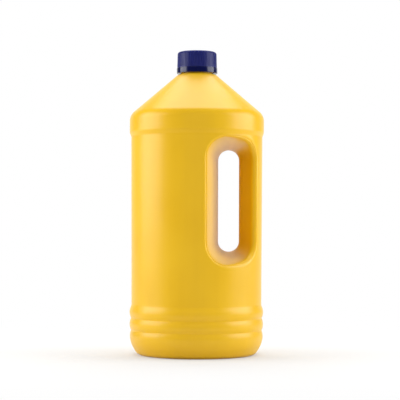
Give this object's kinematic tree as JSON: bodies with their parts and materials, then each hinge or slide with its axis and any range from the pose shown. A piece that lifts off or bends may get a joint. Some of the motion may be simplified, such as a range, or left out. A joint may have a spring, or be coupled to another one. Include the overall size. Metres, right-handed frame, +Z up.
{
  "type": "drain cleaner bottle",
  "caption": "Round blown bottle with a hollow side handle, a cone shoulder, ribs round the base and a ribbed push-and-turn screw cap.",
  "frame": {"origin": "centre of the standing ring, on the surface that the bottle stands on", "axes": "+Z up along the bottle's axis, +X towards the handle; the mould's parting plane is XZ"},
  "size_m": [0.1216, 0.1216, 0.2743],
  "materials": {
    "yellow_polyethylene": "satin",
    "foam_liner": "matt closed-cell foam",
    "natural_polypropylene": "satin",
    "navy_polypropylene": "gloss"
  },
  "bodies": {
    "bottle": {"bottle": "yellow_polyethylene"},
    "cap_liner": {"cap_liner": "foam_liner"},
    "inner_cap": {"inner_cap": "natural_polypropylene"},
    "outer_cap": {"outer_cap": "navy_polypropylene"}
  },
  "joints": [
    {"name": "closure_rise", "type": "slide", "parent": "bottle", "child": "cap_liner", "axis": [0, 0, 1], "range_m": [0, 0.01541]},
    {"name": "closure_turn", "type": "hinge", "parent": "cap_liner", "child": "inner_cap", "pos_m": [0, 0, 0.2622], "axis": [0, 0, 1], "range_deg": [0, 1320]},
    {"name": "child_lock_press", "type": "slide", "parent": "inner_cap", "child": "outer_cap", "axis": [0, 0, -1], "range_m": [0, 0.0009], "stiffness_N_per_m": 20000, "springref_m": -0.0005}
  ],
  "couplings": [
    {"joint": "closure_rise", "follows": "closure_turn", "m_per_rad": 0.00066845}
  ]
}
